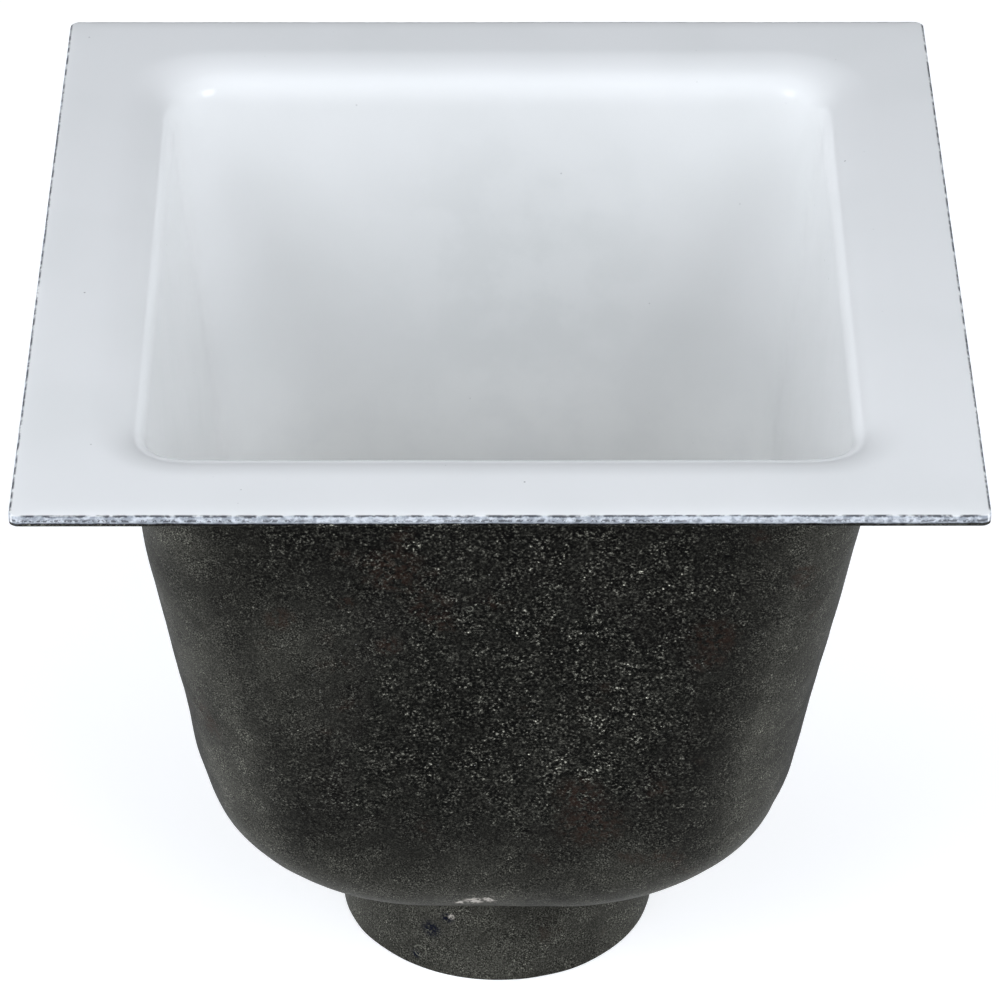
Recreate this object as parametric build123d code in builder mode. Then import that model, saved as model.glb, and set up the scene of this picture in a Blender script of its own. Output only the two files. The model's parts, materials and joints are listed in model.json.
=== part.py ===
from build123d import *
import math
import os

# Square floor sink: an enamelled iron casting with a drafted bowl, and a lift-out dome strainer.
# Millimetres and degrees. The origin is the centre of the outlet's open end, with +Z up.
# Depths are measured down from the top of the iron flange.

os.makedirs("parts", exist_ok=True)

# Flange
flange_size = 304.8
flange_corner_radius = 3.2
flange_thickness = 3.8
flange_edge_radius = 1.2
flange_root_radius = 6.0

# Bowl, outside: its sides and its corners lean in at their own angles
bowl_depth = 221.0
bowl_half_width = 124.0
side_lean = 7.6
corner_lean = 14.3
bowl_corner_radius = 24.3
floor_side_flat = 4.5
bottom_stations = 9

# Bowl, inside
bowl_wall = 8.5
lip_radius = 12.0

# Outlet
spigot_radius = 55.9
spigot_length = 50.3
spigot_wall = 5.1
spigot_shoulder = 5.0
spigot_root_radius = 3.6
spigot_chamfer = 0.5

# Throat above the outlet's bore, wider than the bore so that the coat doesn't narrow it
throat_step = 1.4
throat_depth = 8.8

# Enamel coat, which ends on the throat's step
enamel = 0.8
enamel_edge_wrap = 3.2

# Strainer seat in the floor
seat_margin = 1.0
seat_depth = 3.0
seat_edge_radius = 1.0

# Strainer
strainer_clearance = 0.8
strainer_rim_thickness = 3.0
strainer_rim_width = 5.5
strainer_rim_edge = 0.6
dome_height = 26.0
dome_wall = 2.8
dome_root_radius = 1.5
slot_width = 5.0
slot_bridge = 4.0
outer_slots = 20
inner_slots = 10
lug_end_gap = 1.6
lug_wall = 2.4
lug_width = 24.0
lug_count = 4

# Places that follow from the sizes
diagonal = math.sqrt(2)
rim_z = spigot_length + bowl_depth
bore_radius = spigot_radius - spigot_wall
throat_radius = bore_radius + throat_step
floor_half_width = spigot_radius + spigot_shoulder
floor_corner_radius = floor_half_width - floor_side_flat
rim_diagonal = diagonal * bowl_half_width - (diagonal - 1) * bowl_corner_radius
floor_diagonal = diagonal * floor_half_width - (diagonal - 1) * floor_corner_radius
floor_z = spigot_length + bowl_wall
seat_radius = floor_half_width - seat_margin
seat_z = floor_z - seat_depth
throat_z = seat_z - throat_depth
strainer_z = seat_z + enamel
strainer_radius = seat_radius - enamel - strainer_clearance
dome_foot_radius = strainer_radius - strainer_rim_width
dome_radius = (dome_foot_radius**2 + dome_height**2) / (2 * dome_height)
dome_centre_z = strainer_z + strainer_rim_thickness + dome_height - dome_radius
dome_sweep = math.degrees(math.asin(dome_foot_radius / dome_radius))
hollow_sweep = math.degrees(math.acos((strainer_z - dome_centre_z) / (dome_radius - dome_wall)))
lug_radius = throat_radius - enamel - strainer_clearance
lug_end_z = throat_z + lug_end_gap
outer_slot_end = lug_radius - lug_wall - slot_bridge / 2
outer_slot_start = outer_slots * (slot_width + slot_bridge) / (2 * math.pi)
inner_slot_end = outer_slot_start - slot_bridge
inner_slot_start = inner_slots * (slot_width + slot_bridge) / (2 * math.pi)
beyond = 20.0


def turn_radius(top, foot, lean):
    """Radius of the arc that turns a wall, leaning in from top, into the level floor at foot."""
    return (top - bowl_depth * math.tan(lean) - foot) * math.cos(lean) / (1 - math.sin(lean))


def reach_at(top, foot, lean, inset, depth):
    """How far the wall stands from the axis at a depth, on the surface that lies inset inside it."""
    turn = turn_radius(top, foot, lean)
    below_centre = depth - bowl_depth + turn
    if below_centre < (turn - inset) * math.sin(lean):
        return top - inset / math.cos(lean) - depth * math.tan(lean)
    return foot + math.sqrt(max((turn - inset) ** 2 - below_centre**2, 0))


def section_at(inset, depth):
    """Width and corner radius of the bowl's rounded square at a depth, inset inside its outside."""
    half = reach_at(bowl_half_width, floor_half_width, math.radians(side_lean), inset, depth)
    corner = reach_at(rim_diagonal, floor_diagonal, math.radians(corner_lean), inset, depth)
    return 2 * half, (diagonal * half - corner) / (diagonal - 1)


def bowl_form(inset, rise):
    """A closed solid with the bowl's surface, inset by a wall, from rise above the iron rim down."""
    lean = math.radians(corner_lean)
    turn = turn_radius(rim_diagonal, floor_diagonal, lean)
    angles = [lean + (math.pi / 2 - lean) * i / (bottom_stations - 1) for i in range(bottom_stations)]
    depths = [bowl_depth - turn + (turn - inset) * math.sin(angle) for angle in angles]
    with BuildPart() as form:
        for depth in (-rise, depths[0]):
            width, corner = section_at(inset, depth)
            with BuildSketch(Plane.XY.offset(rim_z - depth)):
                RectangleRounded(width, width, corner)
        loft(ruled=True)
        for depth in depths:
            width, corner = section_at(inset, depth)
            with BuildSketch(Plane.XY.offset(rim_z - depth)):
                RectangleRounded(width, width, corner)
        loft()
    return form.part


def flange_form(coat):
    """The flange's block: bare iron at coat 0, and the enamelled outline at a coat's thickness."""
    size = flange_size - 2 * (enamel - coat)
    with BuildPart() as form:
        with BuildSketch(Plane.XY.offset(rim_z - flange_thickness)):
            RectangleRounded(size, size, flange_corner_radius - enamel + coat)
        extrude(amount=flange_thickness + coat)
        fillet(form.faces().sort_by(Axis.Z)[-1].edges(), radius=flange_edge_radius + coat)
    return form.part


def basin_form(coat):
    """The space inside the sink, from above the flange to below the outlet, under a coat.

    Coat 0 is the bare iron's surface and a positive coat lies that far inside it. A negative
    coat reaches into the iron.
    """
    edge = seat_edge_radius + coat
    with BuildPart() as form:
        add(bowl_form(bowl_wall + coat, coat))
        with BuildSketch(Plane.XY.offset(rim_z + coat)):
            Rectangle(flange_size + beyond, flange_size + beyond)
        extrude(amount=beyond)
        mouth = form.faces().filter_by(Axis.Z).sort_by(Axis.Z)[-2]
        fillet(mouth.inner_wires()[0].edges(), radius=lip_radius + coat)
        with BuildSketch(Plane.XY.offset(seat_z + coat)):
            Circle(seat_radius - coat)
        extrude(amount=bowl_wall)
        with BuildSketch(Plane.XY.offset(throat_z)):
            Circle(throat_radius - coat)
        extrude(amount=seat_z + coat - throat_z)
        with BuildSketch(Plane.XY.offset(-beyond)):
            Circle(bore_radius)
        extrude(amount=throat_z + beyond)
        if edge > 0:
            at_seat = form.edges().filter_by(GeomType.CIRCLE).filter_by_position(
                Axis.Z, seat_z + coat, seat_z + coat
            )
            fillet(at_seat.sort_by(SortBy.RADIUS)[0], radius=edge)
    return form.part


with BuildPart() as sink_casting:
    add(bowl_form(0, 0))
    add(flange_form(0))
    underside = sink_casting.faces().filter_by(Axis.Z).group_by(Axis.Z)[-2].sort_by(SortBy.AREA)[-1]
    fillet(underside.inner_wires()[0].edges(), radius=flange_root_radius)
    with BuildSketch(Plane.XY):
        Circle(spigot_radius)
    extrude(amount=spigot_length + bowl_wall / 2)
    shoulder = sink_casting.faces().filter_by(Axis.Z).group_by(Axis.Z)[1].sort_by(SortBy.AREA)[-1]
    fillet(shoulder.inner_wires()[0].edges(), radius=spigot_root_radius)
    add(basin_form(0), mode=Mode.SUBTRACT)
    chamfer(sink_casting.faces().sort_by(Axis.Z)[0].edges(), length=spigot_chamfer)

with BuildPart() as enamel_lining:
    with BuildSketch(Plane.XY.offset(throat_z)):
        RectangleRounded(flange_size, flange_size, flange_corner_radius)
    extrude(amount=rim_z + enamel - throat_z)
    fillet(enamel_lining.faces().sort_by(Axis.Z)[-1].edges(), radius=flange_edge_radius + enamel)
    add(basin_form(-enamel_edge_wrap), mode=Mode.INTERSECT)
    add(sink_casting.part, mode=Mode.SUBTRACT)
    add(basin_form(enamel), mode=Mode.SUBTRACT)

with BuildPart() as dome_strainer:
    with BuildSketch(Plane.XZ):
        with BuildLine():
            outer = CenterArc((0, dome_centre_z), dome_radius, 90, -dome_sweep)
            inner = CenterArc((0, dome_centre_z), dome_radius - dome_wall, 90, -hollow_sweep)
            Line(outer @ 0, inner @ 0)
            Polyline(
                outer @ 1,
                (strainer_radius - strainer_rim_edge, strainer_z + strainer_rim_thickness),
                (strainer_radius, strainer_z + strainer_rim_thickness - strainer_rim_edge),
                (strainer_radius, strainer_z + strainer_rim_edge),
                (strainer_radius - strainer_rim_edge, strainer_z),
                inner @ 1,
            )
        make_face()
    revolve(axis=Axis.Z)
    with BuildSketch(Plane.XY.offset(lug_end_z)):
        with PolarLocations(lug_radius, lug_count):
            Rectangle(lug_radius, lug_width)
        Circle(lug_radius, mode=Mode.INTERSECT)
        Circle(lug_radius - lug_wall, mode=Mode.SUBTRACT)
    extrude(until=Until.NEXT)
    fillet(
        dome_strainer.edges().filter_by(GeomType.CIRCLE).filter_by_position(
            Axis.Z, strainer_z + strainer_rim_thickness, strainer_z + strainer_rim_thickness
        ).sort_by(SortBy.RADIUS)[0],
        radius=dome_root_radius,
    )
    with BuildSketch(Plane.XY.offset(strainer_z)):
        with PolarLocations((outer_slot_start + outer_slot_end) / 2, outer_slots):
            SlotOverall(outer_slot_end - outer_slot_start, slot_width)
        with PolarLocations((inner_slot_start + inner_slot_end) / 2, inner_slots):
            SlotOverall(inner_slot_end - inner_slot_start, slot_width)
    extrude(amount=strainer_rim_thickness + dome_height, mode=Mode.SUBTRACT)

for piece, name in (
    (sink_casting, "sink_casting"),
    (enamel_lining, "enamel_lining"),
    (dome_strainer, "dome_strainer"),
):
    piece.part.label = name
    export_step(piece.part, f"parts/{name}.step")
    print(name, piece.part.volume, piece.part.is_valid, len(piece.part.solids()))
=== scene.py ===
import json
import logging
import math
from dataclasses import dataclass, field
from enum import Enum
from typing import Mapping, Optional, Sequence, Union

import bpy
import numpy as np
from mathutils import Euler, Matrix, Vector, noise


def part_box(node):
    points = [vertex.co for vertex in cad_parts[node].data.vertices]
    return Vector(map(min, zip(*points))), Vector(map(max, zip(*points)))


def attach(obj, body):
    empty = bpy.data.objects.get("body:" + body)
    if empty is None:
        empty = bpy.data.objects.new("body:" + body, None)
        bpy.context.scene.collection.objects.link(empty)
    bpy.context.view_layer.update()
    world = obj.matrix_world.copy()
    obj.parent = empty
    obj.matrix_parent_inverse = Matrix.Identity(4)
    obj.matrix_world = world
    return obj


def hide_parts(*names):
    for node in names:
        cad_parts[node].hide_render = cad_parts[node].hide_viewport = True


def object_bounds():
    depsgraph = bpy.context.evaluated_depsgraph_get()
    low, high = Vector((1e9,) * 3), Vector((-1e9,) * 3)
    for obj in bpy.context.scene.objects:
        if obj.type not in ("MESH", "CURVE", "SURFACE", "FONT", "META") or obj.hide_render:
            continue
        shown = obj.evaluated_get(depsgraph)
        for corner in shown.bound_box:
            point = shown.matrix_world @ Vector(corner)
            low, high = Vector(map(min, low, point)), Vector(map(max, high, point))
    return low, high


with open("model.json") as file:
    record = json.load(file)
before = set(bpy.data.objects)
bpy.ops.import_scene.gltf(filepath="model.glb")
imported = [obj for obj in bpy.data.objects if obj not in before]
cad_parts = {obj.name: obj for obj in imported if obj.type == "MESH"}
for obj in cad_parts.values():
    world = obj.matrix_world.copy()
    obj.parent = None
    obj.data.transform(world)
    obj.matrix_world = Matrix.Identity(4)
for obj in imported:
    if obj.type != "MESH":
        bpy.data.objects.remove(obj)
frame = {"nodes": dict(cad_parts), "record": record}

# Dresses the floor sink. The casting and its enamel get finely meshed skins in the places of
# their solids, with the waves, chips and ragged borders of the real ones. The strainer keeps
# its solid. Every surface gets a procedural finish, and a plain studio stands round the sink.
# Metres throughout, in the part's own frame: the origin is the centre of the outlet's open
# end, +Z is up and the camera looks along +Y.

CAD_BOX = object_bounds()
MM = 0.001
DIAGONAL = math.sqrt(2)
TINY = 1e-9
log = logging.getLogger("floor_sink")

# A span holds two values: a step's start and its full height, or what a mask of 0 and of 1 give
Colour = tuple[float, float, float]
Point = tuple[float, float, float]
Span = tuple[float, float]
Input = Union["Wire", float, Sequence[float]]

BLACK: Colour = (0.0, 0.0, 0.0)


def less(value: float, span: Span) -> Span:
    """Returns a span measured down or in from a value."""
    return value - span[0], value - span[1]


class Operation(Enum):
    """What a Math node works out."""

    ADD = "ADD"
    SUBTRACT = "SUBTRACT"
    MULTIPLY = "MULTIPLY"
    DIVIDE = "DIVIDE"
    MAXIMUM = "MAXIMUM"
    ABSOLUTE = "ABSOLUTE"
    EXPONENT = "EXPONENT"


class Wire:
    """One output socket of a shader tree, so that shader maths reads as Python expressions."""

    def __init__(self, shade: "Shade", socket: bpy.types.NodeSocket) -> None:
        """Keeps the socket and the material it belongs to."""
        self.shade = shade
        self.socket = socket

    def __add__(self, other: Input) -> "Wire":
        """Returns this value plus the other."""
        return self.shade.maths(Operation.ADD, self, other)

    def __radd__(self, other: Input) -> "Wire":
        """Returns the other value plus this."""
        return self.shade.maths(Operation.ADD, other, self)

    def __sub__(self, other: Input) -> "Wire":
        """Returns this value less the other."""
        return self.shade.maths(Operation.SUBTRACT, self, other)

    def __rsub__(self, other: Input) -> "Wire":
        """Returns the other value less this."""
        return self.shade.maths(Operation.SUBTRACT, other, self)

    def __mul__(self, other: Input) -> "Wire":
        """Returns this value times the other."""
        return self.shade.maths(Operation.MULTIPLY, self, other)

    def __rmul__(self, other: Input) -> "Wire":
        """Returns the other value times this."""
        return self.shade.maths(Operation.MULTIPLY, other, self)

    def __truediv__(self, other: Input) -> "Wire":
        """Returns this value over the other."""
        return self.shade.maths(Operation.DIVIDE, self, other)

    def __rtruediv__(self, other: Input) -> "Wire":
        """Returns the other value over this."""
        return self.shade.maths(Operation.DIVIDE, other, self)

    def __abs__(self) -> "Wire":
        """Returns this value without its sign."""
        return self.shade.maths(Operation.ABSOLUTE, self)

    def most(self, other: Input) -> "Wire":
        """Returns the larger of this value and the other."""
        return self.shade.maths(Operation.MAXIMUM, self, other)

    def exponent(self) -> "Wire":
        """Returns e to the power of this value."""
        return self.shade.maths(Operation.EXPONENT, self)

    def between(self, low: float, high: float) -> "Wire":
        """Returns low where this value is 0, high where it is 1, and a blend between them."""
        return low + self * (high - low)

    def rise(self, low: float, high: float) -> "Wire":
        """Returns a smooth step over this value.

        Args:
            low: Value at which the step is 0.
            high: Value at which the step is 1. It may be under low, for a falling step.

        Returns:
            The step, from 0 to 1.
        """
        return self.shade.node(
            "ShaderNodeMapRange",
            {"interpolation_type": "SMOOTHSTEP"},
            {"Value": self, "From Min": low, "From Max": high},
        )

    def band(self, centre: float, width: float) -> "Wire":
        """Returns 1 where this value is at the centre, falling to 0 at width from it."""
        return abs(self - centre).rise(width, 0.0)


@dataclass(frozen=True)
class Cloud:
    """A cloudy pattern, with values round 0.5, mostly from 0.3 to 0.7.

    Attributes:
        size: Width of its features.
        detail: Number of finer layers.
        seed: Moves the pattern, so that two clouds of one size differ.
        span: Values at which its patches start and are full.
    """

    size: float
    detail: float = 2.0
    seed: float = 0.0
    span: Span = (0.3, 0.7)


@dataclass(frozen=True)
class Dots:
    """Scattered soft dots, each of its own strength.

    Attributes:
        size: Mean distance between them.
        share: Share of them that show at all.
        radius: Radius of a dot as a share of that distance.
        seed: Moves the pattern.
        core: Share of its radius within which a dot is at its full strength.
    """

    size: float
    share: float
    radius: float
    seed: float = 0.0
    core: float = 0.3


class Shade:
    """A procedural material being built, with one Principled surface."""

    def __init__(self, name: str) -> None:
        """Starts an empty node tree.

        Args:
            name: Name of the material.
        """
        self.material = bpy.data.materials.new(name)
        self.material.use_nodes = True
        self.tree = self.material.node_tree
        self.tree.nodes.clear()

    def node(
        self,
        kind: str,
        settings: Optional[Mapping[str, object]] = None,
        inputs: Optional[Mapping[Union[str, int], Input]] = None,
        output: Union[str, int] = 0,
    ) -> Wire:
        """Adds a node.

        Args:
            kind: The node's type name.
            settings: Its properties, set before its sockets.
            inputs: The values or wires of its sockets, by name or place.
            output: The output socket to return.

        Returns:
            The wire that leaves the node.
        """
        made = self.tree.nodes.new(kind)
        for key, value in (settings or {}).items():
            setattr(made, key, value)
        for key, value in (inputs or {}).items():
            if isinstance(value, Wire):
                self.tree.links.new(value.socket, made.inputs[key])
            else:
                made.inputs[key].default_value = value
        return Wire(self, made.outputs[output])

    def maths(self, operation: Operation, *values: Input) -> Wire:
        """Adds a Math node.

        Args:
            operation: What it works out.
            values: One value or wire for each of its sockets.

        Returns:
            The result.
        """
        settings = {"operation": operation.value}
        return self.node("ShaderNodeMath", settings, dict(enumerate(values)))

    def place(self) -> Wire:
        """Returns the point on the piece, in metres in the part's frame."""
        return self.node("ShaderNodeTexCoord", output="Object")

    def axes(self) -> tuple[Wire, Wire, Wire]:
        """Returns the point's X, Y and Z."""
        split = self.node("ShaderNodeSeparateXYZ", inputs={0: self.place()})
        return tuple(Wire(self, axis) for axis in split.socket.node.outputs)

    def attribute(self, name: str) -> Wire:
        """Returns a value that the mesh keeps for each of its points."""
        return self.node("ShaderNodeAttribute", {"attribute_name": name}, output="Fac")

    def cloud(self, cloud: Cloud) -> Wire:
        """Fills the material with a cloud.

        Args:
            cloud: The cloud.

        Returns:
            Its values.
        """
        return self.node(
            "ShaderNodeTexNoise",
            {"noise_dimensions": "4D"},
            {
                "Vector": self.place(),
                "W": cloud.seed,
                "Scale": 1 / cloud.size,
                "Detail": cloud.detail,
            },
        )

    def swing(self, cloud: Cloud) -> Wire:
        """Returns a cloud's values round 0, mostly from -0.2 to 0.2."""
        return self.cloud(cloud) - 0.5

    def patches(self, cloud: Cloud) -> Wire:
        """Returns where a cloud's patches are, from 0 to 1."""
        return self.cloud(cloud).rise(*cloud.span)

    def dots(self, dots: Dots) -> Wire:
        """Returns where scattered dots are, from 0 to 1.

        Args:
            dots: The dots.

        Returns:
            The strength of the dots.
        """
        shift = {0: self.place(), 1: (dots.seed, 0.0, 0.0)}
        spot = self.node("ShaderNodeVectorMath", {"operation": "ADD"}, shift)
        cells = self.node("ShaderNodeTexVoronoi", inputs={"Vector": spot, "Scale": 1 / dots.size})
        tint = Wire(self, cells.socket.node.outputs["Color"])
        chance = self.node("ShaderNodeSeparateColor", inputs={0: tint})
        inside = cells.rise(dots.radius, dots.radius * dots.core)
        return inside * chance.rise(1 - dots.share, 1.0)

    def near(self, point: Point) -> Wire:
        """Returns the distance from a point, in metres."""
        ends = {0: self.place(), 1: point}
        return self.node("ShaderNodeVectorMath", {"operation": "DISTANCE"}, ends, "Value")

    def lay(self, under: Input, over: Input, mask: Input) -> Wire:
        """Lays one colour over another.

        Args:
            under: The colour beneath.
            over: The colour on top.
            mask: How much of it shows, from 0 to 1.

        Returns:
            The resulting colour.
        """
        below, above = (c if isinstance(c, Wire) else (*c, 1.0) for c in (under, over))
        inputs = {0: mask, 6: below, 7: above}
        return self.node("ShaderNodeMix", {"data_type": "RGBA"}, inputs, output=2)

    def relief(self, height: Wire, depth: float, under: Optional[Wire] = None) -> Wire:
        """Turns a height into a bumped normal.

        Args:
            height: The height, from 0 to 1.
            depth: What a height of 1 stands for, in metres.
            under: A normal that is bumped already.

        Returns:
            The normal.
        """
        inputs = {"Strength": 1.0, "Distance": depth, "Height": height}
        if under is not None:
            inputs["Normal"] = under
        return self.node("ShaderNodeBump", inputs=inputs)

    def surface(self, inputs: Mapping[str, Input]) -> bpy.types.Material:
        """Adds the Principled surface and closes the material.

        Args:
            inputs: The values or wires of the surface's sockets.

        Returns:
            The finished material.
        """
        shader = self.node("ShaderNodeBsdfPrincipled", inputs=inputs)
        end = self.tree.nodes.new("ShaderNodeOutputMaterial")
        self.tree.links.new(shader.socket, end.inputs["Surface"])
        return self.material


@dataclass(frozen=True)
class EdgeFinish:
    """The flange's upright edge, where the white coat thins out.

    Attributes:
        pale: The palest mottling.
        grey: The commonest mottling.
        foot: Colour at the foot of the edge, where the coat is thinnest.
        ground: The ground coat, which shows in lines and chips.
        reach: How far in from the flange's outline the edge starts and is full.
        stretches: Stretches that are darker and more chipped.
        mottling: The mottling.
        mottling_shift: What is added to it outside and inside those stretches.
        crumbs: Crumbly places along the chips.
        chip_cover: How strongly chips show outside and inside those stretches.
        chip_drop: Depth of the chips under the coat's top.
        chip_width: How far they spread up and down.
        foot_drop: Depths at which the foot starts and is full.
        foot_cover: How strongly the foot's colour shows.
        line_drop: Depth of the dark line under the coat's top.
        line_wander: How far the line wanders up and down.
        wander: Pattern of that wandering.
        below_line: Heights under the line at which the edge's own colour starts and is full.
        heavy: Stretches where the line is thick.
        heavy_width: Its half width outside and inside those stretches, in millimetres.
        frayed: Pattern of the line's frayed outline.
        frayed_width: What its width is multiplied by there.
        line_fade: Shares of its half width at which the line starts and is full.
        breaks: Pattern that breaks the line up.
        line_cover: How strongly the line shows.
    """

    pale: Colour = (0.50, 0.53, 0.57)
    grey: Colour = (0.25, 0.275, 0.31)
    foot: Colour = (0.10, 0.115, 0.135)
    ground: Colour = (0.012, 0.014, 0.022)
    reach: Span = (1.1 * MM, 0.5 * MM)
    stretches: Cloud = Cloud(36 * MM, detail=1.0, seed=6.0, span=(0.36, 0.62))
    mottling: Cloud = Cloud(1.7 * MM, detail=3.0, seed=4.0, span=(0.44, 0.66))
    mottling_shift: Span = (-0.03, 0.07)
    crumbs: Cloud = Cloud(1.1 * MM, seed=7.0, span=(0.46, 0.56))
    chip_cover: Span = (0.15, 0.90)
    chip_drop: float = 2.2 * MM
    chip_width: float = 1.0 * MM
    foot_drop: Span = (2.4 * MM, 3.2 * MM)
    foot_cover: float = 0.6
    line_drop: float = 0.62 * MM
    line_wander: float = 1.0 * MM
    wander: Cloud = Cloud(7 * MM, detail=5.0)
    below_line: Span = (-0.10 * MM, 0.20 * MM)
    heavy: Cloud = Cloud(45 * MM, detail=1.0, seed=11.0, span=(0.40, 0.62))
    heavy_width: Span = (0.34, 0.64)
    frayed: Cloud = Cloud(1.2 * MM, seed=15.0, span=(0.34, 0.66))
    frayed_width: Span = (0.5, 1.4)
    line_fade: Span = (1.0, 0.2)
    breaks: Cloud = Cloud(4 * MM, detail=5.0, seed=3.0, span=(0.38, 0.54))
    line_cover: float = 0.90

    def dress(
        self, shade: Shade, coat: Wire, top: float, flange_half: float
    ) -> tuple[Wire, Wire]:
        """Lays the edge's colours over the coat's.

        Args:
            shade: The material being built.
            coat: Colour of the coat.
            top: Height of the coat's top.
            flange_half: Half the width of the coated flange.

        Returns:
            The colour, and where the surface is rougher, from 0 to 1.
        """
        x, y, z = shade.axes()
        at_edge = abs(x).most(abs(y)).rise(*less(flange_half, self.reach))
        line_height = top - self.line_drop + shade.swing(self.wander) * self.line_wander
        face = at_edge * (line_height - z).rise(*self.below_line)
        colour = shade.lay(coat, self._face(shade, z, top), face)
        width = shade.patches(self.heavy).between(*self.heavy_width)
        width = width * shade.patches(self.frayed).between(*self.frayed_width) * MM
        line = (abs(z - line_height) / width).rise(*self.line_fade)
        line = at_edge * line * shade.patches(self.breaks)
        return shade.lay(colour, self.ground, line * self.line_cover), face.most(line)

    def _face(self, shade: Shade, z: Wire, top: float) -> Wire:
        """Returns the colour of the edge under its dark line.

        Args:
            shade: The material being built.
            z: Height of the point.
            top: Height of the coat's top.

        Returns:
            The colour.
        """
        stretches = shade.patches(self.stretches)
        mottled = shade.cloud(self.mottling) + stretches.between(*self.mottling_shift)
        colour = shade.lay(self.pale, self.grey, mottled.rise(*self.mottling.span))
        chips = z.band(top - self.chip_drop, self.chip_width) * shade.patches(self.crumbs)
        chips = chips * stretches.between(*self.chip_cover)
        colour = shade.lay(colour, self.ground, chips)
        foot = z.rise(*less(top, self.foot_drop)) * self.foot_cover
        return shade.lay(colour, self.foot, foot)


@dataclass(frozen=True)
class EnamelFinish:
    """Glossy white vitreous enamel.

    Attributes:
        white: The coat's colour.
        shadowed: Its colour where it is a little thinner.
        mid_wall_shade: Its colour in the painted shade that darkens the middle of the back wall.
        low_painted_light: Its colour in the painted light that lightens the basin low down.
        edge: The flange's upright edge.
        thinner: Where the coat is a little thinner.
        shade_middle: Middle of that painted shade.
        shade_reach: Distances from there at which the painted shade starts and is full.
        shade_mottle: Cloudy mottling that breaks up the painted shade and painted light.
        shade_cover: How strongly the painted shade shows outside and inside that mottling.
        low_light_depths: Depths under the top at which the painted light starts and is full.
        low_light_cover: How strongly it shows outside and inside the mottling.
        pinholes: Rare pinholes and trapped specks of the glaze.
        pinhole_cover: How strongly they show.
        border: Pattern of the coat's frayed border.
        border_fray: How strongly that pattern works on it.
        border_shift: What is taken from the border, so that it shows only near its line.
        bare: Values at which the bare border starts and is full.
        waves: Broad waves of the glaze.
        wave_depth: Their depth.
        peel: Its finer peel.
        peel_depth: Its depth.
        haze: Where the glaze is duller.
        roughness: Roughness of the glaze for that pattern's values 0 and 1.
        edge_roughness: What is added to it on the flange's edge.
        ior: Refraction of the glaze.
    """

    white: Colour = (0.818, 0.820, 0.812)
    shadowed: Colour = (0.790, 0.795, 0.785)
    mid_wall_shade: Colour = (0.66, 0.67, 0.66)
    low_painted_light: Colour = (0.905, 0.905, 0.885)
    edge: EdgeFinish = EdgeFinish()
    thinner: Cloud = Cloud(55 * MM, span=(0.40, 0.72))
    shade_middle: Point = (8 * MM, 108 * MM, 196 * MM)
    shade_reach: Span = (88 * MM, 8 * MM)
    shade_mottle: Cloud = Cloud(18 * MM, detail=5.0, seed=14.0, span=(0.42, 0.64))
    shade_cover: Span = (0.50, 0.74)
    low_light_depths: Span = (95 * MM, 150 * MM)
    low_light_cover: Span = (1.0, 0.70)
    pinholes: Dots = Dots(8 * MM, share=0.35, radius=0.060)
    pinhole_cover: float = 0.62
    border: Cloud = Cloud(1.2 * MM, seed=5.0)
    border_fray: float = 0.8
    border_shift: float = 0.4
    bare: Span = (0.45, 0.75)
    waves: Cloud = Cloud(26 * MM, detail=1.0)
    wave_depth: float = 0.06 * MM
    peel: Cloud = Cloud(4.5 * MM, detail=1.0, seed=2.0)
    peel_depth: float = 0.014 * MM
    haze: Cloud = Cloud(30 * MM, seed=8.0)
    roughness: Span = (0.10, 0.16)
    edge_roughness: float = 0.30
    ior: float = 1.52

    def build(self, top: float, flange_half: float) -> bpy.types.Material:
        """Builds the material.

        Args:
            top: Height of the coat's top.
            flange_half: Half the width of the coated flange.

        Returns:
            The material.
        """
        shade = Shade("white_enamel")
        colour = self._glaze(shade, top)
        colour, rougher = self.edge.dress(shade, colour, top, flange_half)
        frayed = shade.cloud(self.border) * self.border_fray + shade.attribute("border")
        bare = (frayed - self.border_shift).rise(*self.bare)
        normal = shade.relief(shade.cloud(self.waves), self.wave_depth)
        roughness = shade.cloud(self.haze).between(*self.roughness)
        return shade.surface(
            {
                "Base Color": shade.lay(colour, self.edge.ground, bare),
                "Roughness": roughness + rougher * self.edge_roughness,
                "Normal": shade.relief(shade.cloud(self.peel), self.peel_depth, under=normal),
                "IOR": self.ior,
            }
        )

    def _glaze(self, shade: Shade, top: float) -> Wire:
        """Returns the coat's colour without its edge and its border.

        Args:
            shade: The material being built.
            top: Height of the coat's top.

        Returns:
            The colour, with a painted shade on the back wall and a painted light low in the basin.
        """
        height = shade.axes()[2]
        shade_mottle = shade.patches(self.shade_mottle)
        # Painted shade: a darker bell on the middle of the back wall, broken by cloudy mottling.
        painted_shade = shade.near(self.shade_middle).rise(*self.shade_reach)
        painted_shade = painted_shade * shade_mottle.between(*self.shade_cover)
        # Painted light: the basin is lightened low down, broken by the same mottling.
        low_painted_light = height.rise(*less(top, self.low_light_depths)) * shade_mottle.between(*self.low_light_cover)
        pinholes = shade.dots(self.pinholes) * self.pinhole_cover
        colour = shade.lay(self.white, self.shadowed, shade.patches(self.thinner))
        colour = shade.lay(colour, self.mid_wall_shade, painted_shade)
        colour = shade.lay(colour, self.low_painted_light, low_painted_light)
        return shade.lay(colour, self.edge.ground, pinholes)


@dataclass(frozen=True)
class Mark:
    """A small mark on the iron.

    Attributes:
        place: Its middle.
        radius: How far it reaches.
        core: Share of its radius within which it is at its full strength.
    """

    place: Point
    radius: float
    core: float = 0.25


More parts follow.
